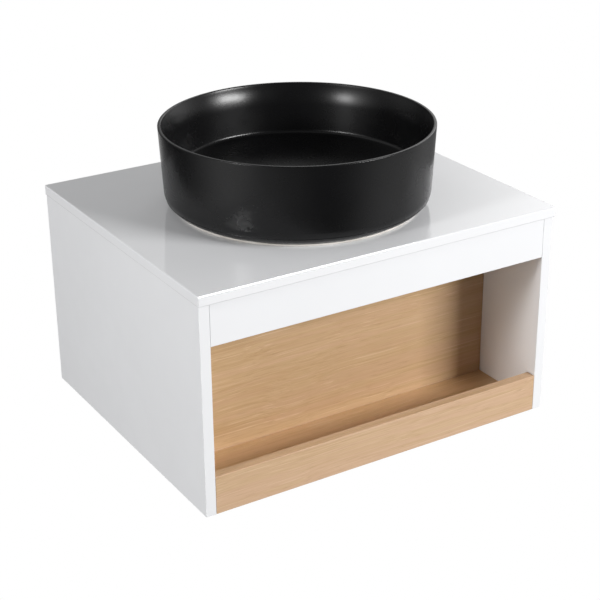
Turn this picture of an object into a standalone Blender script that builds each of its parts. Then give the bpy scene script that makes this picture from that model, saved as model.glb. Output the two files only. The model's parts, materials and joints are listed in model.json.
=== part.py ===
"""Round vessel basin on a wall-hung vanity with an open oak niche, as separate solids.

Metres, +Z up, +X to the right as seen from the front, +Y towards the wall. The origin is
on the wall plane, at the centre of the back face of the rail that the cabinet hangs by.
"""
import math

import bmesh
import bpy
from mathutils import Matrix, Vector

# Driving dimensions
GAP = 0.0003                # clearance between pieces that touch
BOARD = 0.016               # thickness of every board but the niche shelf
SHELF_BOARD = 0.012
TOP_WIDTH = 0.600
TOP_DEPTH = 0.502
CARCASS_HEIGHT = 0.320
SIDE_OVERHANG = 0.002       # of the top over the side panels
FRONT_OVERHANG = 0.004      # of the top over the carcass front
RAIL_HEIGHT = 0.080
APRON_HEIGHT = 0.062
LIP_HEIGHT = 0.059
NICHE_DEPTH = 0.138         # from the top's front edge to the niche back
TOP_EDGE_ROUND = 0.0016
BOARD_EDGE_ROUND = 0.0006
EDGE_SEGMENTS = 2
MERGE_DISTANCE = 0.00002
DRILL_LEAD = 0.002          # how far outside a surface a hole's cutter starts

# Cabinet planes
CARCASS_TOP = RAIL_HEIGHT / 2
CARCASS_BOTTOM = CARCASS_TOP - CARCASS_HEIGHT
CARCASS_FRONT = FRONT_OVERHANG - TOP_DEPTH
TOP_UNDERSIDE = CARCASS_TOP + GAP
TOP_SURFACE = TOP_UNDERSIDE + BOARD
PANEL_OUTER = TOP_WIDTH / 2 - SIDE_OVERHANG
PANEL_INNER = PANEL_OUTER - BOARD
BOARD_END = PANEL_INNER - GAP
FRONT_STRIP_BACK = CARCASS_FRONT + BOARD
NICHE_BACK_FRONT = NICHE_DEPTH - TOP_DEPTH
FRONT_STRIP_MIDDLE = CARCASS_FRONT + BOARD / 2
NICHE_BACK_MIDDLE = NICHE_BACK_FRONT + BOARD / 2
SIDES = {"left": -1, "right": 1}

# Basin, turned about a vertical axis. Heights are above its foot.
BASIN_X = -0.007
BASIN_Y = 0.230 - TOP_DEPTH
BASIN_FOOT = TOP_SURFACE + GAP
BASIN_HEIGHT = 0.1245
RIM_RADIUS = 0.2045
RIM_THICKNESS = 0.005
WALL_TAPER = 0.053          # loss of radius per unit of height, going down
LOWER_ROUND = 0.024
LOWER_ROUND_HEIGHT = 0.027  # of the lower round's centre
FOOT_REACH = 0.0066         # the foot ring stands out from the lower round's centre
FOOT_WIDTH = 0.009
FOOT_RECESS = 0.003         # height at which the recess inside the foot ring opens out
BOWL_CORNER_HEIGHT = 0.0475
BOWL_CORNER_ROUND = 0.004
BOWL_WALL_TILT = 8          # of the bowl's wall from the vertical, in degrees
BOWL_FLARE_TILT = 28.5      # the same at the rim
BOWL_FLARE_HEIGHT = 0.0314  # of the part that flares out to the rim
DRAIN_SEAT_RADIUS = 0.034
DRAIN_SEAT_HEIGHT = 0.0267
DRAIN_HOLE_RADIUS = 0.0225
DRAIN_EDGE_HEIGHT = 0.032
FLOOR_THICKNESS = 0.012
BASIN_SEGMENTS = 48

# Waste. Heights are above the basin's foot.
TAIL_RADIUS = 0.0209
TAIL_BORE = 0.0175
TAIL_END = -0.055
TOP_HOLE_RADIUS = 0.024
THREAD_CLEARANCE = 0.0004
WASTE_GASKET = 0.002
FLANGE_THICKNESS = 0.005
HUB_LOW = 0.0               # the hub in the middle of the cross, which holds the cartridge
HUB_FLOOR = 0.0015
CARTRIDGE_NECK = 0.0040
PLUNGER_RADIUS = 0.0040
WASTE_SEGMENTS = 32
PIN_SEGMENTS = 12

# Joinery
DOWEL_RADIUS = 0.004
DOWEL_LENGTH = 0.030
DOWEL_IN_PANEL = 0.012
DOWEL_IN_TOP = 0.009
CAM_RADIUS = 0.0075
CAM_INSET = 0.024           # from a board's end to its cam lock's centre
BOLT_RADIUS = 0.0025
BOLT_IN_PANEL = 0.011
BOLT_BORE = 0.0032
HOLE_CLEARANCE = 0.0003
RAIL_CAM_DEPTH = 0.012
SHELF_CAM_DEPTH = 0.0095
SHELF_BOLT_HEIGHT = 0.0055
SMALL_SEGMENTS = 10
CAM_SEGMENTS = 16

# Hanger. Heights are in the object's own frame.
CASE_SIZE = Vector((0.018, 0.063, 0.045))
CASE_BACK = -0.012
CASE_FRONT = CASE_BACK - CASE_SIZE.y
CASE_TOP = -RAIL_HEIGHT / 2 - GAP
CASE_EDGE_ROUND = 0.001
HOOK_THICKNESS = 0.003
HOOK_FRONT = -0.062
HOOK_TOP = -0.0445
HOOK_LOW = -0.070
PLATE_WIDTH = 0.050
PLATE_INSET = 0.002         # from the side panel to the plate
PLATE_THICKNESS = 0.0025
PLATE_LIP_FRONT = -0.0085   # the plate's upper edge stands off the wall for the hook
PLATE_LIP_BACK = -0.0060
PLATE_LIP_TOP = -0.052
PEG_RADIUS = 0.005
PEG_LENGTH = 0.011

TURN = {
    "X": Matrix.Rotation(math.pi / 2, 4, "Y"),
    "-X": Matrix.Rotation(-math.pi / 2, 4, "Y"),
    "Y": Matrix.Rotation(-math.pi / 2, 4, "X"),
    "-Y": Matrix.Rotation(math.pi / 2, 4, "X"),
    "Z": Matrix.Identity(4),
}


def clear_scene():
    """Empty the scene and add one collection for the parts and one for the cutters."""
    for scene_object in list(bpy.data.objects):
        bpy.data.objects.remove(scene_object, do_unlink=True)
    parts = bpy.data.collections.new("vessel_sink_vanity")
    cutters = bpy.data.collections.new("cutters")
    bpy.context.scene.collection.children.link(parts)
    bpy.context.scene.collection.children.link(cutters)
    return parts, cutters


def finish_material(name, colour, roughness, metallic=0.0):
    """A Principled material of one colour."""
    material = bpy.data.materials.new(name)
    material.use_nodes = True
    shader = material.node_tree.nodes["Principled BSDF"]
    shader.inputs["Base Color"].default_value = (*colour, 1.0)
    shader.inputs["Roughness"].default_value = roughness
    shader.inputs["Metallic"].default_value = metallic
    return material


PARTS, CUTTERS = clear_scene()
WHITE = finish_material("white_lacquer", (0.86, 0.87, 0.88), 0.25)
GLOSS = finish_material("gloss_top", (0.88, 0.88, 0.89), 0.06)
OAK = finish_material("oak_veneer", (0.60, 0.37, 0.19), 0.5)
CERAMIC = finish_material("black_ceramic", (0.018, 0.018, 0.019), 0.35)
BLACK_METAL = finish_material("black_metal", (0.02, 0.02, 0.02), 0.4, 0.8)
BRASS = finish_material("brass", (0.70, 0.52, 0.25), 0.35, 1.0)
ZINC = finish_material("zinc_steel", (0.62, 0.63, 0.65), 0.35, 1.0)
RUBBER = finish_material("rubber", (0.03, 0.03, 0.03), 0.8)
PLASTIC = finish_material("hanger_plastic", (0.75, 0.75, 0.74), 0.45)
BEECH = finish_material("beech", (0.72, 0.52, 0.33), 0.6)


def add_part(name, mesh, material, location=(0, 0, 0)):
    """Link a mesh as one of the object's parts."""
    part = bpy.data.objects.new(name, mesh)
    part.location = location
    mesh.materials.clear()
    mesh.materials.append(material)
    PARTS.objects.link(part)
    return part


def add_cutter(name, mesh, location=(0, 0, 0)):
    """Link a mesh as a cutter, which isn't one of the parts."""
    cutter = bpy.data.objects.new(name, mesh)
    cutter.location = location
    cutter.hide_render = True
    cutter.display_type = "WIRE"
    CUTTERS.objects.link(cutter)
    return cutter


def combine(part, operand, operation):
    """Cut the operand from the part, or join it to the part."""
    boolean = part.modifiers.new(operand.name, "BOOLEAN")
    boolean.object = operand
    boolean.operation = operation
    boolean.solver = "EXACT"


def finished_mesh(name, shape):
    """A mesh made from a bmesh, which is then freed."""
    mesh = bpy.data.meshes.new(name)
    shape.to_mesh(mesh)
    shape.free()
    return mesh


def box_mesh(name, size):
    """A box centred on its own origin."""
    shape = bmesh.new()
    bmesh.ops.create_cube(shape, size=1.0)
    bmesh.ops.scale(shape, vec=size, verts=shape.verts)
    return finished_mesh(name, shape)


def box_part(name, low, high, material, edge_round=BOARD_EDGE_ROUND):
    """A box between two corners, with rounded edges."""
    low, high = Vector(low), Vector(high)
    part = add_part(name, box_mesh(name, high - low), material, (low + high) / 2)
    bevel = part.modifiers.new("edges", "BEVEL")
    bevel.width = edge_round
    bevel.segments = EDGE_SEGMENTS
    bevel.limit_method = "NONE"
    return part


def box_cutter(name, low, high):
    """A box between two corners, to cut with or to join."""
    low, high = Vector(low), Vector(high)
    return add_cutter(name, box_mesh(name, high - low), (low + high) / 2)


def add_cylinder(shape, start, direction, radius, length, segments):
    """Add a capped cylinder that runs from start along one of the TURN directions."""
    place = Matrix.Translation(start) @ TURN[direction] @ Matrix.Translation((0, 0, length / 2))
    bmesh.ops.create_cone(shape, cap_ends=True, segments=segments, radius1=radius,
                          radius2=radius, depth=length, matrix=place)


def drill(part, name, holes, segments=SMALL_SEGMENTS):
    """Cut holes that don't meet each other, each (start, direction, radius, depth)."""
    shape = bmesh.new()
    for start, direction, radius, depth in holes:
        # Each hole starts a little outside the surface, so that it breaks through cleanly.
        inward = TURN[direction].to_3x3() @ Vector((0, 0, 1))
        add_cylinder(shape, Vector(start) - inward * DRILL_LEAD, direction, radius,
                     depth + DRILL_LEAD, segments)
    combine(part, add_cutter(name, finished_mesh(name, shape)), "DIFFERENCE")


def turned_part(name, profile, material, segments, location, direction="Z"):
    """Turn a profile of (radius, height) points about the part's own Z axis.

    The profile runs down the outer side. One that doesn't end on the axis is closed.
    """
    mesh = bpy.data.meshes.new(name)
    points = [(radius, 0, height) for radius, height in profile]
    edges = [(i, i + 1) for i in range(len(points) - 1)]
    if profile[0][0] > 0:
        edges.append((len(points) - 1, 0))
    mesh.from_pydata(points, edges, [])
    part = add_part(name, mesh, material, location)
    part.rotation_euler = TURN[direction].to_euler()
    screw = part.modifiers.new("turn", "SCREW")
    screw.angle = math.tau
    screw.steps = segments
    screw.render_steps = segments
    screw.use_merge_vertices = True
    screw.merge_threshold = MERGE_DISTANCE
    screw.use_smooth_shade = True
    return part


def extruded_part(name, outline, material, x_low, x_high):
    """Extrude a flat outline of (y, z) points along X."""
    curve = bpy.data.curves.new(name, "CURVE")
    curve.dimensions = "2D"
    curve.fill_mode = "BOTH"
    curve.extrude = (x_high - x_low) / 2
    spline = curve.splines.new("POLY")
    spline.points.add(len(outline) - 1)
    for point, (y, z) in zip(spline.points, outline):
        point.co = (y, z, 0, 1)
    spline.use_cyclic_u = True
    drawn = bpy.data.objects.new(name + "_curve", curve)
    PARTS.objects.link(drawn)
    # The curve's own X and Y become the part's Y and Z.
    drawn.matrix_world = Matrix(((0, 0, 1, (x_low + x_high) / 2),
                                 (1, 0, 0, 0),
                                 (0, 1, 0, 0),
                                 (0, 0, 0, 1)))
    bpy.context.view_layer.update()
    evaluated = drawn.evaluated_get(bpy.context.evaluated_depsgraph_get())
    shape = bmesh.new()
    shape.from_mesh(bpy.data.meshes.new_from_object(evaluated))
    bmesh.ops.remove_doubles(shape, verts=shape.verts, dist=MERGE_DISTANCE)
    part = add_part(name, finished_mesh(name, shape), material)
    part.matrix_world = drawn.matrix_world.copy()
    bpy.data.objects.remove(drawn, do_unlink=True)
    return part


def arc(centre_radius, centre_height, radius, start, end, steps):
    """Points on an arc of a profile, from one angle in degrees to another."""
    points = []
    for step in range(steps + 1):
        angle = math.radians(start + (end - start) * step / steps)
        points.append((centre_radius + radius * math.cos(angle),
                       centre_height + radius * math.sin(angle)))
    return points


# Cabinet

def make_boards():
    """The top and the boards of the carcass."""
    boards = {}
    boards["vanity_top"] = box_part(
        "vanity_top", (-TOP_WIDTH / 2, -TOP_DEPTH, TOP_UNDERSIDE),
        (TOP_WIDTH / 2, 0, TOP_SURFACE), GLOSS, TOP_EDGE_ROUND)
    for side, sign in SIDES.items():
        edges = sorted((sign * PANEL_INNER, sign * PANEL_OUTER))
        boards[side] = box_part(
            side + "_side_panel", (edges[0], CARCASS_FRONT, CARCASS_BOTTOM),
            (edges[1], 0, CARCASS_TOP), WHITE)
    boards["apron"] = box_part(
        "front_apron", (-BOARD_END, CARCASS_FRONT, CARCASS_TOP - APRON_HEIGHT),
        (BOARD_END, FRONT_STRIP_BACK, CARCASS_TOP), WHITE)
    boards["lip"] = box_part(
        "front_lip", (-BOARD_END, CARCASS_FRONT, CARCASS_BOTTOM),
        (BOARD_END, FRONT_STRIP_BACK, CARCASS_BOTTOM + LIP_HEIGHT), OAK)
    boards["niche_back"] = box_part(
        "niche_back_panel", (-BOARD_END, NICHE_BACK_FRONT, CARCASS_BOTTOM),
        (BOARD_END, NICHE_BACK_FRONT + BOARD, CARCASS_TOP), OAK)
    boards["shelf"] = box_part(
        "niche_shelf", (-BOARD_END, FRONT_STRIP_BACK + GAP, CARCASS_BOTTOM),
        (BOARD_END, NICHE_BACK_FRONT - GAP, CARCASS_BOTTOM + SHELF_BOARD), OAK)
    boards["top_rail"] = box_part(
        "rear_top_rail", (-BOARD_END, -BOARD, -RAIL_HEIGHT / 2),
        (BOARD_END, 0, RAIL_HEIGHT / 2), WHITE)
    boards["bottom_rail"] = box_part(
        "rear_bottom_rail", (-BOARD_END, -BOARD, CARCASS_BOTTOM),
        (BOARD_END, 0, CARCASS_BOTTOM + RAIL_HEIGHT), WHITE)
    return boards


def make_dowels(boards):
    """Dowels across the ends of the upright boards, and up from the side panels into the top."""
    strip_inset = 0.015
    back_inset = 0.060
    apron_bottom = CARCASS_TOP - APRON_HEIGHT
    lip_top = CARCASS_BOTTOM + LIP_HEIGHT
    # For each board: the dowels' y and their two heights.
    rows = {
        "apron": (FRONT_STRIP_MIDDLE, (apron_bottom + strip_inset, CARCASS_TOP - strip_inset)),
        "lip": (FRONT_STRIP_MIDDLE, (CARCASS_BOTTOM + strip_inset, lip_top - strip_inset)),
        "niche_back": (NICHE_BACK_MIDDLE, (CARCASS_BOTTOM + back_inset, CARCASS_TOP - back_inset)),
    }
    top_dowel_places = {"front": -0.400, "rear": -0.100}
    hole = DOWEL_RADIUS + HOLE_CLEARANCE
    chamfer = 0.001
    profile = [(0, DOWEL_LENGTH), (DOWEL_RADIUS - chamfer, DOWEL_LENGTH),
               (DOWEL_RADIUS, DOWEL_LENGTH - chamfer), (DOWEL_RADIUS, chamfer),
               (DOWEL_RADIUS - chamfer, 0), (0, 0)]
    end_spare = 0.0005
    panel_holes = {side: [] for side in SIDES}
    top_holes = []
    for row, (y, heights) in rows.items():
        board_holes = []
        for side, sign in SIDES.items():
            outward, inward = ("X", "-X") if sign > 0 else ("-X", "X")
            for level, z in zip(("lower", "upper"), heights):
                start = (sign * (PANEL_INNER + DOWEL_IN_PANEL), y, z)
                turned_part(f"{row}_dowel_{side}_{level}", profile, BEECH, SMALL_SEGMENTS, start, inward)
                face = (sign * PANEL_INNER, y, z)
                panel_holes[side].append((face, outward, hole, DOWEL_IN_PANEL + end_spare))
                depth = DOWEL_LENGTH - DOWEL_IN_PANEL + end_spare
                board_holes.append(((sign * BOARD_END, y, z), inward, hole, depth))
        drill(boards[row], row + "_dowel_holes", board_holes)
    for side, sign in SIDES.items():
        x = sign * (PANEL_INNER + BOARD / 2)
        down = []
        for place, y in top_dowel_places.items():
            bottom = TOP_UNDERSIDE + DOWEL_IN_TOP - DOWEL_LENGTH
            turned_part(f"top_dowel_{side}_{place}", profile, BEECH, SMALL_SEGMENTS, (x, y, bottom))
            depth = CARCASS_TOP - bottom + end_spare
            down.append(((x, y, CARCASS_TOP - depth), "Z", hole, depth + end_spare))
            top_holes.append(((x, y, TOP_UNDERSIDE), "Z", hole, DOWEL_IN_TOP + end_spare))
        drill_blind_up(boards[side], side + "_top_dowel_holes", down)
        drill(boards[side], side + "_dowel_holes", panel_holes[side])
    drill(boards["vanity_top"], "top_dowel_holes", top_holes)


def drill_blind_up(part, name, holes):
    """Cut holes given by their closed lower end, running up out of the part's top."""
    shape = bmesh.new()
    for start, direction, radius, depth in holes:
        add_cylinder(shape, start, direction, radius, depth + DRILL_LEAD, SMALL_SEGMENTS)
    combine(part, add_cutter(name, finished_mesh(name, shape)), "DIFFERENCE")


def bolt_profile(length):
    """A cam bolt from its head down to the end that screws into the side panel."""
    head, head_length = 0.0028, 0.0024
    neck, neck_length = 0.0019, 0.0026
    shank = 0.0028
    return [(0, length), (head, length), (head, length - head_length),
            (neck, length - head_length), (neck, length - head_length - neck_length),
            (shank, length - head_length - neck_length), (shank, BOLT_IN_PANEL + GAP),
            (BOLT_RADIUS, BOLT_IN_PANEL + GAP), (BOLT_RADIUS, 0), (0, 0)]


def make_cams(boards):
    """A cam lock and its bolt at each end of the shelf and of both rear rails."""
    shelf_middle = (FRONT_STRIP_BACK + NICHE_BACK_FRONT) / 2
    shelf_bolt = CARCASS_BOTTOM + SHELF_BOLT_HEIGHT
    # For each board: the bolt's y and z, the cam's face point and the way that the cam goes in.
    rows = {
        "shelf": (shelf_middle, shelf_bolt, (shelf_middle, CARCASS_BOTTOM), "Z", SHELF_CAM_DEPTH),
        "top_rail": (-BOARD / 2, 0, (-BOARD, 0), "Y", RAIL_CAM_DEPTH),
        "bottom_rail": (-BOARD / 2, CARCASS_BOTTOM + RAIL_HEIGHT / 2,
                        (-BOARD, CARCASS_BOTTOM + RAIL_HEIGHT / 2), "Y", RAIL_CAM_DEPTH),
    }
    past_centre = 0.001
    bolt_length = BOLT_IN_PANEL + GAP + CAM_INSET + past_centre
    for row, (y, z, (face_y, face_z), way, depth) in rows.items():
        end_bores, cam_bores = [], []
        for side, sign in SIDES.items():
            inward = "-X" if sign > 0 else "X"
            outward = "X" if sign > 0 else "-X"
            cam_x = sign * (BOARD_END - CAM_INSET)
            turned_part(f"{row}_cam_bolt_{side}", bolt_profile(bolt_length), ZINC, SMALL_SEGMENTS,
                        (sign * (PANEL_INNER + BOLT_IN_PANEL), y, z), inward)
            make_cam(f"{row}_cam_lock_{side}", (cam_x, face_y, face_z), way, depth,
                     (sign * BOARD_END, y, z), inward)
            end_bores.append(((sign * BOARD_END, y, z), inward, BOLT_BORE, CAM_INSET - CAM_RADIUS / 2))
            cam_bores.append(((cam_x, face_y, face_z), way, CAM_RADIUS + HOLE_CLEARANCE, depth + GAP))
            drill(boards[side], f"{row}_bolt_hole_{side}",
                  [((sign * PANEL_INNER, y, z), outward, BOLT_RADIUS + HOLE_CLEARANCE,
                    BOLT_IN_PANEL + GAP)])
        drill(boards[row], row + "_bolt_bores", end_bores)
        drill(boards[row], row + "_cam_bores", cam_bores, CAM_SEGMENTS)


def make_cam(name, face, way, depth, board_end, inward):
    """A cam lock: a disc with a screwdriver slot, bored from its side for the bolt's head."""
    sunk = 0.0002
    edge = 0.0004
    profile = [(0, depth), (CAM_RADIUS - edge, depth), (CAM_RADIUS, depth - edge),
               (CAM_RADIUS, sunk + edge), (CAM_RADIUS - edge, sunk), (0, sunk)]
    cam = turned_part(name, profile, ZINC, CAM_SEGMENTS, face, way)
    bore_past_centre = 0.0022
    drill(cam, name + "_bore", [(board_end, inward, BOLT_BORE, CAM_INSET + bore_past_centre)])
    slot_length, slot_width, slot_depth = 0.008, 0.0014, 0.0016
    along = Vector((slot_length, slot_width, slot_width))
    if way == "Y":
        along.y = 2 * slot_depth
    else:
        along.z = 2 * slot_depth
    slot = add_cutter(name + "_slot", box_mesh(name + "_slot", along), face)
    combine(cam, slot, "DIFFERENCE")


# Basin

def basin_wall(height):
    """Outer radius of the wall at a height above the foot."""
    rim_middle = BASIN_HEIGHT - RIM_THICKNESS / 2
    return RIM_RADIUS - WALL_TAPER * (rim_middle - height)


def bowl_wall(steps):
    """The bowl's wall from its corner up to the rim: straight, then flaring outwards."""
    top_radius = RIM_RADIUS - RIM_THICKNESS
    top_height = BASIN_HEIGHT - RIM_THICKNESS / 2
    tilt = math.radians(BOWL_WALL_TILT)
    flare_tilt = math.radians(BOWL_FLARE_TILT)
    radius = BOWL_FLARE_HEIGHT / (math.sin(flare_tilt) - math.sin(tilt))
    centre_radius = top_radius + radius * math.cos(flare_tilt)
    centre_height = top_height - radius * math.sin(flare_tilt)
    flare = arc(centre_radius, centre_height, radius, 180 - BOWL_WALL_TILT, 180 - BOWL_FLARE_TILT, steps)
    low_radius, low_height = flare[0]
    corner_radius = low_radius - (low_height - BOWL_CORNER_HEIGHT) * math.tan(tilt)
    return [(corner_radius, BOWL_CORNER_HEIGHT)] + flare


def bowl_floor(radius):
    """Height of the bowl's sloping floor at a radius."""
    corner_radius = bowl_wall(steps=1)[0][0]
    slope = (BOWL_CORNER_HEIGHT - DRAIN_EDGE_HEIGHT) / (corner_radius - DRAIN_SEAT_RADIUS)
    return DRAIN_EDGE_HEIGHT + slope * (radius - DRAIN_SEAT_RADIUS)


def rounded_corner(before, corner, after, radius, steps):
    """Replace a corner between two lines of a profile by a curve that starts radius away."""
    before, corner, after = Vector(before), Vector(corner), Vector(after)
    start = corner + (before - corner).normalized() * radius
    end = corner + (after - corner).normalized() * radius
    points = []
    for step in range(steps + 1):
        t = step / steps
        point = start * (1 - t) ** 2 + corner * 2 * t * (1 - t) + end * t ** 2
        points.append((point.x, point.y))
    return points


def basin_profile():
    """The basin's section, down the outside, in under the foot and up the inside."""
    rim = RIM_THICKNESS / 2
    rim_middle = BASIN_HEIGHT - rim
    taper = math.atan(WALL_TAPER)
    round_height = LOWER_ROUND_HEIGHT
    round_centre = basin_wall(round_height) - LOWER_ROUND / math.cos(taper)
    round_end = -math.degrees(math.acos(FOOT_REACH / LOWER_ROUND))
    foot = round_centre + FOOT_REACH
    foot_edge = 0.0006
    foot_draft = 0.001
    recess_side = 0.156
    boss, boss_side, boss_depth = 0.042, 0.046, 0.010
    boss_height = DRAIN_SEAT_HEIGHT - boss_depth
    seat_draft = 0.0004
    wall = bowl_wall(steps=7)
    corner = rounded_corner((DRAIN_SEAT_RADIUS, DRAIN_EDGE_HEIGHT), wall[0], wall[1],
                            BOWL_CORNER_ROUND, steps=3)
    profile = arc(RIM_RADIUS - rim, rim_middle, rim, 135, 0, steps=4)
    profile += arc(round_centre, round_height, LOWER_ROUND, -math.degrees(taper), round_end, steps=6)
    profile += [(foot, foot_edge), (foot - foot_edge, 0)]
    profile += [(foot - FOOT_WIDTH, 0), (foot - FOOT_WIDTH - foot_draft, FOOT_RECESS)]
    for radius in (recess_side, boss_side):
        profile.append((radius, bowl_floor(radius) - FLOOR_THICKNESS))
    profile += [(boss, boss_height), (DRAIN_HOLE_RADIUS, boss_height)]
    profile += [(DRAIN_HOLE_RADIUS, DRAIN_SEAT_HEIGHT), (DRAIN_SEAT_RADIUS, DRAIN_SEAT_HEIGHT)]
    profile += [(DRAIN_SEAT_RADIUS + seat_draft, DRAIN_EDGE_HEIGHT)]
    profile += corner
    profile += wall[1:]
    return profile


def make_basin():
    """The basin, standing on the top."""
    turned_part("basin", basin_profile(), CERAMIC, BASIN_SEGMENTS, (BASIN_X, BASIN_Y, BASIN_FOOT))


# Waste

def waste_place(height=0.0):
    """A point on the waste's axis at a height above the basin's foot."""
    return Vector((BASIN_X, BASIN_Y, BASIN_FOOT + height))


def ring_part(name, inner, outer, low, high, material):
    """A flat ring about the waste's axis."""
    return turned_part(name, [(inner, high), (outer, high), (outer, low), (inner, low)],
                       material, WASTE_SEGMENTS, waste_place())


def make_waste_body():
    """The flange, the threaded tail and the cross that holds the pop-up mechanism."""
    flange_low = DRAIN_SEAT_HEIGHT + WASTE_GASKET + 2 * GAP
    flange_high = flange_low + FLANGE_THICKNESS
    flange_radius = DRAIN_SEAT_RADIUS - 0.0017
    edge = 0.0007
    cone_top, cone_bottom = 0.025, 0.0275
    profile = [(cone_top, flange_high), (flange_radius - edge, flange_high),
               (flange_radius, flange_high - edge), (flange_radius, flange_low),
               (TAIL_RADIUS, flange_low), (TAIL_RADIUS, TAIL_END + edge),
               (TAIL_RADIUS - edge, TAIL_END), (TAIL_BORE, TAIL_END), (TAIL_BORE, cone_bottom)]
    body = turned_part("waste_body", profile, BLACK_METAL, WASTE_SEGMENTS, waste_place())
    cross_low, cross_high = 0.002, 0.006
    arm_width = 0.0024
    arm_reach = TAIL_BORE + 0.0015
    for name, half_x, half_y in (("cross_arm_x", arm_reach, arm_width / 2),
                                 ("cross_arm_y", arm_width / 2, arm_reach)):
        low = waste_place(cross_low) - Vector((half_x, half_y, 0))
        high = waste_place(cross_high) + Vector((half_x, half_y, 0))
        combine(body, box_cutter(name, low, high), "UNION")
    hub_radius, hub_high = 0.0070, 0.0065
    hub = bmesh.new()
    add_cylinder(hub, waste_place(HUB_LOW), "Z", hub_radius, hub_high - HUB_LOW, PIN_SEGMENTS)
    combine(body, add_cutter("cross_hub", finished_mesh("cross_hub", hub)), "UNION")
    screw_hole = bmesh.new()
    add_cylinder(screw_hole, waste_place(HUB_LOW + HUB_FLOOR), "Z", CARTRIDGE_NECK + GAP,
                 hub_high - HUB_LOW, PIN_SEGMENTS)
    combine(body, add_cutter("hub_hole", finished_mesh("hub_hole", screw_hole)), "DIFFERENCE")


def make_cartridge():
    """The click-clack mechanism's fixed sleeve, screwed into the cross."""
    sleeve, bore = 0.0070, PLUNGER_RADIUS + 0.0004
    neck_low = HUB_LOW + HUB_FLOOR + GAP
    sleeve_low, sleeve_high, bore_low = 0.0068, 0.0270, 0.0088
    edge = 0.0008
    profile = [(0, bore_low), (bore, bore_low), (bore, sleeve_high),
               (sleeve - edge, sleeve_high), (sleeve, sleeve_high - edge),
               (sleeve, sleeve_low), (CARTRIDGE_NECK, sleeve_low), (CARTRIDGE_NECK, neck_low),
               (0, neck_low)]
    turned_part("waste_cartridge", profile, BRASS, PIN_SEGMENTS, waste_place())


def make_plug():
    """What rises and falls: the plunger, the mushroom plug and the plug's seal."""
    plunger_low, shoulder, tip_high = 0.0107, 0.0282, 0.0376
    tip = 0.0032
    edge = 0.0008
    plunger = [(0, tip_high), (tip, tip_high), (tip, shoulder), (PLUNGER_RADIUS, shoulder),
               (PLUNGER_RADIUS, plunger_low + edge), (PLUNGER_RADIUS - edge, plunger_low),
               (0, plunger_low)]
    turned_part("plug_plunger", plunger, BRASS, PIN_SEGMENTS, waste_place())

    cap_high, cap_edge, cap_low, cap_radius = 0.0400, 0.0382, 0.0350, 0.0315
    carrier, carrier_low = 0.0190, 0.0300
    socket, boss = tip + GAP, 0.0060
    edge_round = 0.0018
    cap_draft = 0.0004
    crown = (cap_radius / 2, cap_high - (cap_high - cap_edge) / 4)
    plug = [(0, cap_high), crown]
    plug += arc(cap_radius - edge_round, cap_edge - edge_round, edge_round, 75, 0, steps=3)
    plug += [(cap_radius - cap_draft, cap_low), (carrier, cap_low), (carrier, carrier_low),
             (boss, carrier_low), (boss, shoulder + GAP), (socket, shoulder + GAP),
             (socket, tip_high + GAP), (0, tip_high + GAP)]
    turned_part("waste_plug", plug, BLACK_METAL, WASTE_SEGMENTS, waste_place())

    seal_inner, seal_outer, seal_edge = carrier + GAP, 0.0234, 0.0332
    seal = [(seal_inner, cap_low - GAP), (seal_outer, cap_low - GAP), (seal_outer, seal_edge),
            (seal_inner, carrier_low)]
    turned_part("plug_seal", seal, RUBBER, WASTE_SEGMENTS, waste_place())


def make_clamp():
    """The gaskets, the washer and the backnut that clamp the basin to the top."""
    seat_low = DRAIN_SEAT_HEIGHT + GAP
    ring_part("waste_upper_gasket", DRAIN_HOLE_RADIUS + 0.0007, DRAIN_SEAT_RADIUS - 0.0025,
              seat_low, seat_low + WASTE_GASKET, RUBBER)
    hole = TAIL_RADIUS + THREAD_CLEARANCE
    gasket_radius, gasket_thickness = 0.034, 0.003
    washer_radius, washer_thickness = 0.033, 0.0015
    nut_radius, nut_flange, nut_height = 0.032, 0.003, 0.012
    hexagon_radius, hexagon_overlap = 0.031, 0.001
    gasket_high = -BOARD - 2 * GAP
    gasket_low = gasket_high - gasket_thickness
    washer_high = gasket_low - GAP
    washer_low = washer_high - washer_thickness
    nut_high = washer_low - GAP
    nut_low = nut_high - nut_height
    ring_part("waste_lower_gasket", hole, gasket_radius, gasket_low, gasket_high, RUBBER)
    ring_part("waste_slip_washer", hole, washer_radius, washer_low, washer_high, PLASTIC)
    nut = ring_part("waste_backnut", hole, nut_radius, nut_high - nut_flange, nut_high, BRASS)
    hexagon = bmesh.new()
    add_cylinder(hexagon, waste_place(nut_low), "Z", hexagon_radius,
                 nut_height - hexagon_overlap, 6)
    combine(nut, add_cutter("nut_hexagon", finished_mesh("nut_hexagon", hexagon)), "UNION")
    drill(nut, "nut_bore", [(waste_place(nut_low), "Z", hole, nut_height + DRILL_LEAD)],
          WASTE_SEGMENTS)


# Hangers

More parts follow.
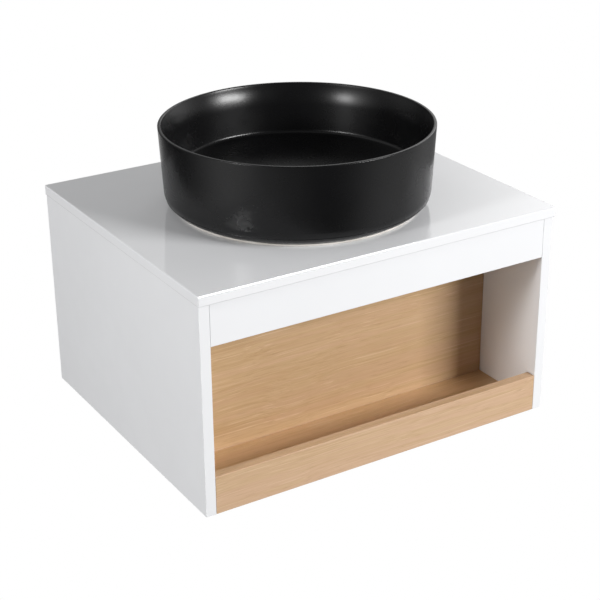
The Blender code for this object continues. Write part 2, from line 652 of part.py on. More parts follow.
def make_hanger_case(side, sign, panel):
    """A hanger's plastic case, with a pocket for its hook and two pegs into the side panel."""
    low_x, high_x = sorted((sign * BOARD_END, sign * (BOARD_END - CASE_SIZE.x)))
    case = box_part(side + "_hanger_case", (low_x, CASE_FRONT, CASE_TOP - CASE_SIZE.z),
                    (high_x, CASE_BACK, CASE_TOP), PLASTIC, CASE_EDGE_ROUND)
    room = 0.0005
    half = HOOK_THICKNESS / 2 + room
    middle = hook_middle(sign)
    pocket = box_cutter(side + "_case_pocket",
                        (middle - half, HOOK_FRONT - room, HOOK_LOW - room),
                        (middle + half, CASE_BACK + DRILL_LEAD, HOOK_TOP + room))
    combine(case, pocket, "DIFFERENCE")

    outward = "X" if sign > 0 else "-X"
    peg_inset, peg_overlap = 0.014, 0.002
    peg_height = CASE_TOP - CASE_SIZE.z / 2
    peg_holes = []
    pegs = bmesh.new()
    for y in (CASE_FRONT + peg_inset, CASE_BACK - peg_inset):
        add_cylinder(pegs, (sign * (BOARD_END - peg_overlap), y, peg_height), outward, PEG_RADIUS,
                     PEG_LENGTH + peg_overlap, PIN_SEGMENTS)
        peg_holes.append(((sign * PANEL_INNER, y, peg_height), outward,
                          PEG_RADIUS + HOLE_CLEARANCE, PEG_LENGTH + GAP))
    combine(case, add_cutter(side + "_case_pegs", finished_mesh(side + "_case_pegs", pegs)), "UNION")
    drill(panel, side + "_peg_holes", peg_holes, PIN_SEGMENTS)
    return case


def hook_middle(sign):
    """The x of a hook's middle, which is also its case's."""
    return sign * (BOARD_END - CASE_SIZE.x / 2)


def make_hanger_hook(side, sign):
    """A steel hook whose nose drops behind the wall plate's upper edge."""
    nose_back, nose_low = -0.0008, -0.0605
    throat_back = PLATE_LIP_BACK + 0.0005
    throat_front = PLATE_LIP_FRONT - 0.001
    throat_top = PLATE_LIP_TOP + GAP
    outline = [(HOOK_FRONT, HOOK_TOP), (nose_back, HOOK_TOP), (nose_back, nose_low),
               (throat_back, nose_low), (throat_back, throat_top), (throat_front, throat_top),
               (throat_front, HOOK_LOW), (HOOK_FRONT, HOOK_LOW)]
    middle = hook_middle(sign)
    extruded_part(side + "_hanger_hook", outline, ZINC, middle - HOOK_THICKNESS / 2,
                  middle + HOOK_THICKNESS / 2)


def make_hanger_screws(side, sign, case):
    """The two slotted screws in the case's front, for height and depth."""
    radius, length = 0.0030, 0.0090
    point, edge = 0.001, 0.0004
    sunk = 0.0005
    front = CASE_FRONT + sunk
    slot_length, slot_width, slot_depth = 0.0044, 0.0008, 0.0012
    profile = [(0, length), (radius - point, length), (radius, length - point), (radius, edge),
               (radius - edge, 0), (0, 0)]
    middle = hook_middle(sign)
    holes = []
    for purpose, z in (("height", -0.0490), ("depth", -0.0655)):
        name = f"{side}_hanger_{purpose}_screw"
        screw = turned_part(name, profile, ZINC, PIN_SEGMENTS, (middle, front, z), "Y")
        slot = box_cutter(name + "_slot",
                          (middle - slot_length / 2, front - slot_depth, z - slot_width / 2),
                          (middle + slot_length / 2, front + slot_depth, z + slot_width / 2))
        combine(screw, slot, "DIFFERENCE")
        holes.append(((middle, CASE_FRONT, z), "Y", radius + HOLE_CLEARANCE, HOOK_FRONT - CASE_FRONT))
    drill(case, side + "_case_screw_holes", holes, PIN_SEGMENTS)


def make_wall_plate(side, sign):
    """A bent steel plate on the wall, with two screw holes and an upper edge for the hook."""
    jog_top, jog_low, plate_low = -0.0645, -0.0705, -0.110
    slant = 0.001
    section = [(0, plate_low), (0, jog_low), (PLATE_LIP_BACK, jog_top),
               (PLATE_LIP_BACK, PLATE_LIP_TOP), (PLATE_LIP_FRONT, PLATE_LIP_TOP),
               (PLATE_LIP_FRONT, jog_top - slant), (-PLATE_THICKNESS, jog_low - slant),
               (-PLATE_THICKNESS, plate_low)]
    outer_end = BOARD_END - PLATE_INSET
    edges = sorted((sign * outer_end, sign * (outer_end - PLATE_WIDTH)))
    plate = extruded_part(side + "_wall_plate", section, ZINC, *edges)
    screw_radius, screw_height, half_spacing = 0.0035, -0.090, 0.013
    middle = sum(edges) / 2
    holes = []
    for x in (middle - half_spacing, middle + half_spacing):
        holes.append(((x, -PLATE_THICKNESS, screw_height), "Y", screw_radius,
                      PLATE_THICKNESS + DRILL_LEAD))
    drill(plate, side + "_plate_holes", holes, PIN_SEGMENTS)


def make_hangers(boards):
    """A cabinet hanger and its wall plate on each side."""
    for side, sign in SIDES.items():
        case = make_hanger_case(side, sign, boards[side])
        make_hanger_hook(side, sign)
        make_hanger_screws(side, sign, case)
        make_wall_plate(side, sign)


def main():
    """Build every part."""
    boards = make_boards()
    make_dowels(boards)
    make_cams(boards)
    make_basin()
    make_waste_body()
    make_cartridge()
    make_plug()
    make_clamp()
    drill(boards["vanity_top"], "top_waste_hole",
          [((BASIN_X, BASIN_Y, TOP_UNDERSIDE), "Z", TOP_HOLE_RADIUS, BOARD + DRILL_LEAD)],
          WASTE_SEGMENTS)
    make_hangers(boards)
    bpy.context.view_layer.update()


main()
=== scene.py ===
"""The looks of a round vessel basin on a wall-hung vanity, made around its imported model."""

import json
import math
from functools import partial

import bmesh
import bpy
from mathutils import Matrix, Vector


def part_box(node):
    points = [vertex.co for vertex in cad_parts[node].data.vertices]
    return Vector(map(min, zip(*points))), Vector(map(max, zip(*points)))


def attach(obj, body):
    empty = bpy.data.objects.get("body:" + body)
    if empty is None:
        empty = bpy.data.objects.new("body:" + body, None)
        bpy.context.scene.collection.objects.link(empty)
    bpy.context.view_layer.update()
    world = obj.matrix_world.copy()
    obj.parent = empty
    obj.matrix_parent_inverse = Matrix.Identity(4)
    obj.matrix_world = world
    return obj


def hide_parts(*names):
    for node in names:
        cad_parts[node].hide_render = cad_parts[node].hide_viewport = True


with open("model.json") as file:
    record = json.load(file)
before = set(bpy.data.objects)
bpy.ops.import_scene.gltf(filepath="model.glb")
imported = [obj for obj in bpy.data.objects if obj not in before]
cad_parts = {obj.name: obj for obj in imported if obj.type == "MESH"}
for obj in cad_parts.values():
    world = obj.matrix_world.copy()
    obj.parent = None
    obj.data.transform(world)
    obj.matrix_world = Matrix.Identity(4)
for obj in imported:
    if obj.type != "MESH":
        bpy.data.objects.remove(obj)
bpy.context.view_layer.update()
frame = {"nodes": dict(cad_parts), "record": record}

TOP_LOW, TOP_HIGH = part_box("vanity_top")
BASIN_LOW, BASIN_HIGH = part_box("basin")
AXIS_X = (BASIN_LOW.x + BASIN_HIGH.x) / 2
AXIS_Y = (BASIN_LOW.y + BASIN_HIGH.y) / 2
FOOT_Z = BASIN_LOW.z


# Camera and stage

CAMERA_FROM_CORNER = Vector((-0.7995, -1.5531, 0.7865))   # from the top's front left upper corner
CAMERA_AZIMUTH = -31.55     # angles are in degrees
CAMERA_ELEVATION = 24.44
CAMERA_ROLL = -0.49
CAMERA_LENS = 89.2          # in millimetres, like the sensor's width
CAMERA_SENSOR = 36.0
FLOOR_Z = -1.40
FLOOR_SIZE = 60.0


def direction(azimuth, elevation):
    """The unit vector towards an azimuth, 0 in front and 90 on the right, and an elevation."""
    a, e = math.radians(azimuth), math.radians(elevation)
    return Vector((math.sin(a) * math.cos(e), -math.cos(a) * math.cos(e), math.sin(e)))


def facing(back):
    """The rotation of a camera or light that looks against the direction back, held level."""
    right = Vector((0, 0, 1)).cross(back).normalized()
    up = back.cross(right)
    return Matrix((right, up, back)).transposed()


def make_camera():
    """The camera at the product photograph's angle."""
    camera = bpy.data.objects.new("camera", bpy.data.cameras.new("camera"))
    camera.data.lens = CAMERA_LENS
    camera.data.sensor_width = CAMERA_SENSOR
    back = direction(CAMERA_AZIMUTH, CAMERA_ELEVATION)
    roll = Matrix.Rotation(math.radians(CAMERA_ROLL), 3, "Z")
    place = Vector((TOP_LOW.x, TOP_LOW.y, TOP_HIGH.z)) + CAMERA_FROM_CORNER
    camera.matrix_world = Matrix.Translation(place) @ (facing(back) @ roll).to_4x4()
    bpy.context.scene.collection.objects.link(camera)
    bpy.context.scene.camera = camera


class Nodes:
    """Short calls that add nodes to one node tree."""

    def __init__(self, tree):
        self.tree = tree

    def add(self, kind, **settings):
        """A new node, with its settings given by name."""
        node = self.tree.nodes.new(kind)
        for name, value in settings.items():
            setattr(node, name, value)
        return node

    def feed(self, socket, value):
        """Give an input another node's output, or a constant."""
        if isinstance(value, bpy.types.NodeSocket):
            self.tree.links.new(value, socket)
        else:
            socket.default_value = value

    def calculate(self, operation, *values):
        """The result of a Math node, from outputs or numbers."""
        node = self.add("ShaderNodeMath", operation=operation)
        for socket, value in zip(node.inputs, values):
            self.feed(socket, value)
        return node.outputs[0]


def studio_white():
    """Plain, even white for the floor."""
    white = bpy.data.materials.new("studio_white")
    white.use_nodes = True
    nodes = Nodes(white.node_tree)
    nodes.tree.nodes.clear()
    glow = nodes.add("ShaderNodeEmission")
    output = nodes.add("ShaderNodeOutputMaterial")
    nodes.feed(output.inputs["Surface"], glow.outputs[0])
    return white


def make_floor():
    """A pale floor far below the hung cabinet, which only the camera sees."""
    shape = bmesh.new()
    bmesh.ops.create_grid(shape, x_segments=1, y_segments=1, size=FLOOR_SIZE / 2)
    mesh = bpy.data.meshes.new("studio_floor")
    shape.to_mesh(mesh)
    shape.free()
    mesh.materials.append(studio_white())
    floor = bpy.data.objects.new("studio_floor", mesh)
    floor.location.z = FLOOR_Z
    floor.visible_diffuse = False
    floor.visible_glossy = False
    floor.visible_transmission = False
    floor.visible_shadow = False
    bpy.context.scene.collection.objects.link(floor)


# Light

# The world is a sum of soft lobes: (azimuth, elevation, sharpness, strength).
WORLD_LOBES = [
    (0, 90, 4, 0.22),           # overhead
    (-135, 50, 8, 0.75),        # high up, behind and in front on the left
    (-45, 50, 8, 0.15),
    (128, 24, 40, 4.4),         # behind on the right, mirrored by the glossy top
    (148, 30, 40, 0.8),
    (90, 16, 14, 1.6),          # right
    (-84, 18, 30, 2.2),         # left, the lower one for the niche
    (-78, 4, 40, 1.6),
    (-135, 16, 14, 0.4),        # behind on the left
    (-90, -24, 10, 1.4),        # from below, where the top mirrors nothing
    (-45, -24, 10, 0.4),
    (45, -24, 10, 0.9),
    (90, -24, 10, 0.6),
    (155, -14, 14, 1.3),        # the cabinet's back
]

# Softboxes: (azimuth, elevation, distance, width, height, watts).
SOFTBOXES = {
    "key_softbox": (32, 21, 5.0, 2.0, 0.9, 255.0),
    "left_softbox": (-77, 19, 2.6, 0.35, 0.50, 25.0),
}
SOFTBOX_AIM = Vector((0, (TOP_LOW.y + TOP_HIGH.y) / 2, -0.05))


def lobe_sum(nodes):
    """The surround's strength: every lobe is a power of the cosine to its own direction."""
    towards = nodes.add("ShaderNodeTexCoord").outputs["Generated"]
    total = 0.0
    for azimuth, elevation, sharpness, strength in WORLD_LOBES:
        aim = nodes.add("ShaderNodeVectorMath", operation="DOT_PRODUCT")
        nodes.feed(aim.inputs[0], towards)
        nodes.feed(aim.inputs[1], direction(azimuth, elevation))
        front = nodes.calculate("MAXIMUM", aim.outputs["Value"], 0.0)
        lobe = nodes.calculate("POWER", front, sharpness)
        total = nodes.calculate("MULTIPLY_ADD", lobe, strength, total)
    return total


def make_world():
    """A soft studio surround, and plain white where the camera looks past the object."""
    world = bpy.data.worlds.new("studio")
    bpy.context.scene.world = world
    world.use_nodes = True
    nodes = Nodes(world.node_tree)
    nodes.tree.nodes.clear()
    surround = nodes.add("ShaderNodeBackground")
    nodes.feed(surround.inputs["Strength"], lobe_sum(nodes))
    backdrop = nodes.add("ShaderNodeBackground")
    seen = nodes.add("ShaderNodeLightPath")
    choose = nodes.add("ShaderNodeMixShader")
    inputs = (seen.outputs["Is Camera Ray"], surround.outputs[0], backdrop.outputs[0])
    for socket, value in zip(choose.inputs, inputs):
        nodes.feed(socket, value)
    output = nodes.add("ShaderNodeOutputWorld")
    nodes.feed(output.inputs["Surface"], choose.outputs[0])


def make_softboxes():
    """Soft rectangular lights in front and on the left, hidden from the camera."""
    for name, (azimuth, elevation, distance, width, height, watts) in SOFTBOXES.items():
        light = bpy.data.lights.new(name, "AREA")
        light.shape = "RECTANGLE"
        light.size = width
        light.size_y = height
        light.energy = watts
        softbox = bpy.data.objects.new(name, light)
        back = direction(azimuth, elevation)
        place = Matrix.Translation(SOFTBOX_AIM + back * distance)
        softbox.matrix_world = place @ facing(back).to_4x4()
        softbox.visible_camera = False
        bpy.context.scene.collection.objects.link(softbox)


# Materials. A noise's scale is in features to the metre, and a bump's height in metres.

NOISE_RANGE = (0.3, 0.7)                # a noise's values mostly stay between these
MIX_A, MIX_B, MIX_RESULT = 6, 7, 2      # a Mix node's colour sockets


class Finish(Nodes):
    """A Principled material, with short calls that add procedural nodes to it."""

    def __init__(self, name, colour, roughness, metallic=0.0, ior=1.5):
        self.material = bpy.data.materials.new(name)
        self.material.use_nodes = True
        super().__init__(self.material.node_tree)
        self.shader = self.tree.nodes["Principled BSDF"]
        self.use("Base Color", (*colour, 1.0))
        self.use("Roughness", roughness)
        self.use("Metallic", metallic)
        self.use("IOR", ior)
        self.place = self.add("ShaderNodeTexCoord").outputs["Object"]

    def use(self, name, value):
        """Give one of the shader's inputs an output or a constant."""
        self.feed(self.shader.inputs[name], value)

    def stretch(self, scale, offset=(0, 0, 0)):
        """The object's own coordinates, scaled and moved."""
        node = self.add("ShaderNodeMapping")
        self.feed(node.inputs["Vector"], self.place)
        self.feed(node.inputs["Scale"], scale)
        self.feed(node.inputs["Location"], offset)
        return node.outputs[0]

    def noise(self, place, scale=1.0, detail=3.0, rough=0.5):
        """A cloudy noise from 0 to 1."""
        node = self.add("ShaderNodeTexNoise")
        self.feed(node.inputs["Vector"], place)
        self.feed(node.inputs["Scale"], scale)
        self.feed(node.inputs["Detail"], detail)
        self.feed(node.inputs["Roughness"], rough)
        return node.outputs["Fac"]

    def ramp(self, value, low, high, out_low=0.0, out_high=1.0):
        """A value's range low..high turned smoothly into out_low..out_high."""
        node = self.add("ShaderNodeMapRange", interpolation_type="SMOOTHSTEP")
        self.feed(node.inputs["Value"], value)
        for socket, number in zip(("From Min", "From Max", "To Min", "To Max"),
                                  (low, high, out_low, out_high)):
            self.feed(node.inputs[socket], number)
        return node.outputs["Result"]

    def spread(self, noise, low=0.0, high=1.0):
        """A noise's usual range turned into low..high."""
        return self.ramp(noise, *NOISE_RANGE, low, high)

    def blend(self, amount, a, b):
        """Two colours mixed by an amount, each an output or a colour."""
        node = self.add("ShaderNodeMix", data_type="RGBA")
        self.feed(node.inputs["Factor"], amount)
        for socket, colour in ((MIX_A, a), (MIX_B, b)):
            constant = not isinstance(colour, bpy.types.NodeSocket)
            self.feed(node.inputs[socket], (*colour, 1.0) if constant else colour)
        return node.outputs[MIX_RESULT]

    def bump(self, relief, height, strength=1.0):
        """A bump in which a relief of 1 stands this height proud."""
        node = self.add("ShaderNodeBump")
        self.feed(node.inputs["Height"], relief)
        self.feed(node.inputs["Distance"], height)
        self.feed(node.inputs["Strength"], strength)
        return node.outputs[0]


def shade(colour, factor):
    """A colour made darker."""
    return tuple(channel * factor for channel in colour)


def tinted(colour, tint):
    """A colour times a tint, channel by channel."""
    return tuple(a * b for a, b in zip(colour, tint))


def lacquer(name, colour, roughness):
    """Sprayed lacquer: faint orange peel, faint cloudiness and a slightly uneven gloss."""
    finish = Finish(name, colour, roughness)
    clouds = finish.noise(finish.place, scale=9.0, detail=2.0)
    gloss = finish.noise(finish.place, scale=38.0)
    peel = finish.noise(finish.place, scale=260.0, detail=1.0)
    finish.use("Base Color", finish.blend(finish.spread(clouds), shade(colour, 0.985), colour))
    finish.use("Roughness", finish.spread(gloss, low=roughness * 0.85, high=roughness * 1.2))
    finish.use("Normal", finish.bump(peel, height=0.000012))
    return finish.material


OAK_LIGHT = (0.72, 0.488, 0.290)
OAK_DARK = (0.545, 0.332, 0.164)
OAK_PINKISH = (0.67, 0.420, 0.262)
OAK_PORE = (0.34, 0.190, 0.090)
OAK_RAY = (0.84, 0.640, 0.440)
OAK_WAVER = 0.014               # how far the grain drifts across its length, in metres
OAK_RANGE = (0.32, 0.68)        # noise values between the grain's dark and light
OAK_FEATURE = (0.60, 0.72)      # noise values at which a pore or a ray starts, and is full
OAK_BAND_SHARE = 0.30           # each noise's share of the change from dark to light
OAK_STREAK_SHARE = 0.38
OAK_FIBRE_SHARE = 0.32


def oak_grain(finish, offset, length, width, detail, rough=0.5):
    """A noise drawn out along X, with this length and width of grain in metres."""
    place = finish.stretch((1 / length, 1 / width, 1 / width), offset)
    return finish.noise(place, detail=detail, rough=rough)


def let_grain_waver(finish, offset):
    """Shift a finish's coordinates across the grain by a slow noise, so that its lines drift."""
    slow = oak_grain(finish, offset, length=0.16, width=0.11, detail=1.0)
    across = finish.calculate("MULTIPLY", finish.calculate("SUBTRACT", slow, 0.5), OAK_WAVER)
    shift = finish.add("ShaderNodeCombineXYZ")
    finish.feed(shift.inputs["Y"], across)
    finish.feed(shift.inputs["Z"], across)
    moved = finish.add("ShaderNodeVectorMath", operation="ADD")
    finish.feed(moved.inputs[0], finish.place)
    finish.feed(moved.inputs[1], shift.outputs[0])
    finish.place = moved.outputs[0]


def oak(name, offset, tint):
    """Rift-cut oak veneer: wavering streaks, fine fibres, open pores and pale rays."""
    # tint paints the board's light into all its colours: a painted sheen when paler, painted shade
    # when darker
    light, dark, pinkish = [tinted(colour, tint) for colour in (OAK_LIGHT, OAK_DARK, OAK_PINKISH)]
    finish = Finish(name, light, roughness=0.45)
    let_grain_waver(finish, offset)
    grain = partial(oak_grain, finish, offset)
    bands = grain(1.2, 0.020, detail=3.0, rough=0.55)
    tints = grain(0.6, 0.012, detail=2.0)
    streaks = grain(0.34, 0.0026, detail=3.0, rough=0.6)
    fibres = grain(0.09, 0.0010, detail=2.0, rough=0.6)
    pores = grain(0.030, 0.0008, detail=1.0)
    rays = grain(0.20, 0.0017, detail=1.0)

    tone = 0.0
    for noise, share in ((bands, OAK_BAND_SHARE), (streaks, OAK_STREAK_SHARE),
                         (fibres, OAK_FIBRE_SHARE)):
        tone = finish.calculate("MULTIPLY_ADD", finish.ramp(noise, *OAK_RANGE), share, tone)
    pore_depth = finish.ramp(pores, *OAK_FEATURE)
    colour = finish.blend(tone, dark, light)
    colour = finish.blend(finish.ramp(tints, 0.42, 0.62, out_high=0.6), colour, pinkish)
    colour = finish.blend(finish.calculate("MULTIPLY", pore_depth, 0.30), colour, OAK_PORE)
    colour = finish.blend(finish.ramp(rays, *OAK_FEATURE, out_high=0.3), colour, OAK_RAY)
    relief = finish.calculate("SUBTRACT", finish.calculate("MULTIPLY", fibres, 0.35), pore_depth)
    finish.use("Base Color", colour)
    finish.use("Roughness", finish.spread(fibres, low=0.36, high=0.50))
    finish.use("Normal", finish.bump(relief, height=0.00006, strength=0.6))
    return finish.material


def glaze():
    """Satin black glaze, with a fine tooth and a slightly uneven sheen."""
    finish = Finish("black_glaze", (0.0045, 0.0045, 0.0048), roughness=0.27, ior=1.37)
    thin = (0.0040, 0.0040, 0.0043)
    pooled = (0.0050, 0.0050, 0.0054)
    pool = finish.noise(finish.place, scale=14.0)
    sheen = finish.noise(finish.place, scale=30.0)
    tooth = finish.noise(finish.place, scale=1500.0, detail=2.0)
    finish.use("Base Color", finish.blend(finish.ramp(pool, 0.35, 0.65), thin, pooled))
    finish.use("Roughness", finish.spread(sheen, low=0.255, high=0.285))
    finish.use("Normal", finish.bump(tooth, height=0.000006))
    return finish.material


def bisque():
    """Unglazed stoneware, pale and gritty."""
    finish = Finish("bisque", (0.62, 0.59, 0.55), roughness=0.85)
    stained = (0.55, 0.52, 0.48)
    clean = (0.70, 0.67, 0.63)
    speck = (0.35, 0.33, 0.30)
    grit = finish.noise(finish.place, scale=900.0)
    stain = finish.noise(finish.place, scale=30.0)
    colour = finish.blend(finish.spread(stain), stained, clean)
    colour = finish.blend(finish.ramp(grit, 0.60, 0.72, out_high=0.5), colour, speck)
    finish.use("Base Color", colour)
    finish.use("Normal", finish.bump(grit, height=0.00008))
    return finish.material


def metal(name, colour, roughness, metallic=1.0, grain=(1, 1, 1)):
    """Plated or turned metal: faint brushing, smudged gloss."""
    finish = Finish(name, colour, roughness, metallic)
    marks = finish.noise(finish.stretch(grain), scale=400.0, rough=0.6)
    smudge = finish.noise(finish.place, scale=45.0)
    finish.use("Base Color", finish.blend(finish.spread(smudge), shade(colour, 0.88), colour))
    finish.use("Roughness", finish.spread(smudge, low=roughness * 0.8, high=roughness * 1.25))
    finish.use("Normal", finish.bump(marks, height=0.00001, strength=0.6))
    return finish.material


def moulded(name, colour, roughness):
    """Moulded plastic or rubber with a fine spark texture."""
    finish = Finish(name, colour, roughness)
    texture = finish.noise(finish.place, scale=1600.0, detail=2.0)
    cast = finish.noise(finish.place, scale=60.0)
    finish.use("Base Color", finish.blend(finish.spread(cast), shade(colour, 0.93), colour))
    finish.use("Roughness", finish.spread(cast, low=roughness * 0.9, high=roughness * 1.12))
    finish.use("Normal", finish.bump(texture, height=0.00003))
    return finish.material


def beech():
    """Bare beech dowel with short dark rays."""
    finish = Finish("beech_dowel", (0.62, 0.42, 0.25), roughness=0.6)
    dark = (0.55, 0.36, 0.20)
    light = (0.66, 0.46, 0.28)
    ray = (0.33, 0.18, 0.09)
    fibres = finish.noise(finish.stretch((60, 1400, 1400)))
    rays = finish.noise(finish.stretch((500, 2500, 2500)), detail=1.0)
    colour = finish.blend(finish.spread(fibres), dark, light)
    colour = finish.blend(finish.ramp(rays, 0.62, 0.72, out_high=0.6), colour, ray)
    finish.use("Base Color", colour)
    finish.use("Normal", finish.bump(fibres, height=0.00004))
    return finish.material


LACQUER_WHITE = (0.86, 0.865, 0.88)
WHITE = lacquer("white_lacquer", LACQUER_WHITE, roughness=0.22)
GLOSS = lacquer("gloss_top", LACQUER_WHITE, roughness=0.05)
GLAZE = glaze()
BISQUE = bisque()
BLACK_METAL = metal("black_plate", (0.012, 0.012, 0.013), roughness=0.34, metallic=0.6)
BRASS = metal("turned_brass", (0.72, 0.53, 0.26), roughness=0.30, grain=(1, 1, 6))
ZINC = metal("zinc_plate", (0.62, 0.63, 0.66), roughness=0.32, grain=(1, 3, 3))
RUBBER = moulded("rubber", (0.018, 0.018, 0.018), roughness=0.72)
PLASTIC = moulded("hanger_plastic", (0.62, 0.62, 0.61), roughness=0.45)
BEECH = beech()
# One oak on three boards. Each tint paints the light on its board: the lip's paler, bluer tint is a
# painted sheen, the back's darker tint is painted shade, and the shelf's warmer tint is painted
# light bounced off the oak.
OAK_BACK = oak("oak_niche_back", offset=(0.13, 0.4, 0.71), tint=(0.86, 0.89, 0.87))
OAK_SHELF = oak("oak_shelf", offset=(2.7, 1.9, 3.3), tint=(0.98, 0.98, 0.92))
OAK_LIP = oak("oak_lip", offset=(5.1, 4.2, 1.2), tint=(0.95, 0.99, 1.05))

SLOT_OF = {part["node"]: part["material_slot"] for part in frame["record"]["subparts"]}
SLOT_FINISH = {
    "white_lacquer": WHITE,
    "gloss_top": GLOSS,
    "black_ceramic": GLAZE,
    "black_metal": BLACK_METAL,
    "brass": BRASS,
    "zinc_steel": ZINC,
    "rubber": RUBBER,
    "hanger_plastic": PLASTIC,
    "beech": BEECH,
}
OAK_FINISH = {
    "niche_back_panel": OAK_BACK,
    "niche_shelf": OAK_SHELF,
    "front_lip": OAK_LIP,
}


def finish_nodes():
    """Give every CAD node the finish of its slot, and every oak board its own cut of veneer, tinted
    with painted light.
    """
    for name, node in frame["nodes"].items():
        material = OAK_FINISH.get(name) or SLOT_FINISH[SLOT_OF[name]]
        node.data.materials.clear()
        node.data.materials.append(material)


# Turned pieces

SHARP_EDGE = 35             # an edge that turns more than this, in degrees, stays sharp


def polar(centre_radius, centre_height, radius, angle):
    """The point of a section at an angle in degrees and a distance from a centre."""
    turn = math.radians(angle)
    return centre_radius + radius * math.cos(turn), centre_height + radius * math.sin(turn)


def arc(centre_radius, centre_height, radius, start, end, steps):
    """Points on an arc of a section, from one angle in degrees to another."""
    angles = [start + (end - start) * step / steps for step in range(steps + 1)]
    return [polar(centre_radius, centre_height, radius, angle) for angle in angles]


def add_turned(shape, section, segments, material_of=None, radius_of=None):
    """Add a solid of revolution about the waste's axis, from (radius, height) points.

    The section runs down the outer side and is closed. material_of gives a face's material
    from its middle radius and height, and radius_of a vertex's radius from its angle,
    radius and height.
    """
    rings = []
    for radius, height in section:
        if radius <= 0:
            rings.append([shape.verts.new((AXIS_X, AXIS_Y, FOOT_Z + height))])
            continue
        ring = []
        for step in range(segments):
            angle = math.tau * step / segments
            reach = radius_of(angle, radius, height) if radius_of else radius
            ring.append(shape.verts.new((AXIS_X + reach * math.cos(angle),
                                         AXIS_Y + reach * math.sin(angle), FOOT_Z + height)))
        rings.append(ring)
    pairs = list(zip(section, section[1:] + section[:1], rings, rings[1:] + rings[:1]))
    if section[0][0] <= 0:
        pairs = pairs[:-1]
    for (r0, h0), (r1, h1), upper, lower in pairs:
        which = material_of((r0 + r1) / 2, (h0 + h1) / 2) if material_of else 0
        for step in range(segments):
            after = (step + 1) % segments
            corners = [upper[step % len(upper)], lower[step % len(lower)]]
            if len(lower) > 1:
                corners.append(lower[after])
            if len(upper) > 1:
                corners.append(upper[after])
            shape.faces.new(corners).material_index = which


def smooth_piece(name, shape, materials):
    """An object made from a bmesh, smooth apart from its sharp edges."""
    shape.normal_update()
    mesh = bpy.data.meshes.new(name)
    shape.to_mesh(mesh)
    shape.free()
    for material in materials:
        mesh.materials.append(material)
    mesh.shade_smooth()
    mesh.set_sharp_from_angle(angle=math.radians(SHARP_EDGE))
    piece = bpy.data.objects.new(name, mesh)
    bpy.context.scene.collection.objects.link(piece)
    return piece


def turned(name, section, segments, materials, **how):
    """A piece that is one solid of revolution."""
    shape = bmesh.new()
    add_turned(shape, section, segments, **how)
    return smooth_piece(name, shape, materials)


def stand_for(piece, body, slot, *nodes):
    """A piece that rides on a body and takes the place of CAD nodes."""
    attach(piece, body)
    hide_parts(*nodes)


# Basin. Heights are above its foot.

BASIN_SEGMENTS = 256
BASIN_RADIUS = (BASIN_HIGH.x - BASIN_LOW.x) / 2
BASIN_HEIGHT = BASIN_HIGH.z - BASIN_LOW.z

RIM_THICKNESS = 0.005
RIM_EDGE = 0.0014           # radius of the rim's two edges
RIM_LEVEL = BASIN_HEIGHT - RIM_EDGE     # of the edges' centres
RIM_START = 168             # angle at which the inner edge leaves the bowl's wall, in degrees
RIM_STEPS = 8

WALL_TAPER = 0.053          # loss of radius per unit of height, going down
WALL_STEPS = 8
LOWER_ROUND = 0.024         # radius of the round under the wall
LOWER_ROUND_LEVEL = 0.027   # of its centre
LOWER_ROUND_STEPS = 96
WALL_LOW_RADIUS = BASIN_RADIUS - WALL_TAPER * (RIM_LEVEL - LOWER_ROUND_LEVEL)
LOWER_ROUND_CENTRE = WALL_LOW_RADIUS - LOWER_ROUND / math.cos(math.atan(WALL_TAPER))
RIDGE_ANGLE = -30           # of the ridge on the lower round, in degrees
RIDGE_HALF_ANGLE = 2.6
RIDGE_HEIGHT = 0.0006

FOOT_REACH = 0.0066         # the foot ring stands out this far from the lower round's centre
FOOT_RADIUS = LOWER_ROUND_CENTRE + FOOT_REACH
FOOT_WIDTH = 0.009
FOOT_EDGE = 0.0006
FOOT_DRAFT = 0.001          # lean of the ring's inner side
FOOT_RECESS = 0.003         # height at which the recess inside the foot ring opens out
GLAZE_END = 0.0031          # the foot ring is bare below this height
RECESS_SIDE = 0.156         # radius of the recess's outer corner
BOSS_RADIUS = 0.042         # of the thicker part round the waste
BOSS_SIDE = 0.046
BOSS_DEPTH = 0.010
DRAIN_HOLE = 0.0225

SEAT_RADIUS = 0.034         # the sunk seat of the waste's flange
SEAT_LEVEL = 0.0267
DRAIN_LEVEL = 0.032         # of the bowl's floor at the seat
DRAIN_EDGE = 0.002          # round of the floor's edge there
FLOOR_THICKNESS = 0.012
FLOOR_STEPS = 8
CORNER_LEVEL = 0.0475       # of the corner between the bowl's floor and wall
CORNER_ROUND = 0.005
BOWL_WALL_TILT = 8          # of the bowl's wall from the vertical, in degrees
BOWL_WALL_STEPS = 16
CORNER_STEPS = 12
CORNER_POINTS = 3           # points of the wall that the corner's round takes the place of
FLARE_TILT = 28.5           # the bowl's wall at the rim, in degrees
FLARE_HEIGHT = 0.0314       # of the part that flares out to the rim


def bowl_wall(steps):
    """The bowl's wall from its corner up to the rim: straight, then flaring outwards."""
    wall_tilt = math.radians(BOWL_WALL_TILT)
    flare_tilt = math.radians(FLARE_TILT)
    radius = FLARE_HEIGHT / (math.sin(flare_tilt) - math.sin(wall_tilt))
    centre_radius = BASIN_RADIUS - RIM_THICKNESS + radius * math.cos(flare_tilt)
    centre_height = RIM_LEVEL - radius * math.sin(flare_tilt)
    flare = arc(centre_radius, centre_height, radius, 180 - BOWL_WALL_TILT, 180 - FLARE_TILT, steps)
    low_radius, low_height = flare[0]
    wall = []
    for step in range(steps):
        height = CORNER_LEVEL + (low_height - CORNER_LEVEL) * step / steps
        wall.append((low_radius - (low_height - height) * math.tan(wall_tilt), height))
    return wall + flare


def bowl_floor(radius):
    """Height of the bowl's sloping floor at a radius."""
    corner_radius, corner_height = bowl_wall(1)[0]
    slope = (corner_height - DRAIN_LEVEL) / (corner_radius - SEAT_RADIUS)
    return DRAIN_LEVEL + slope * (radius - SEAT_RADIUS)


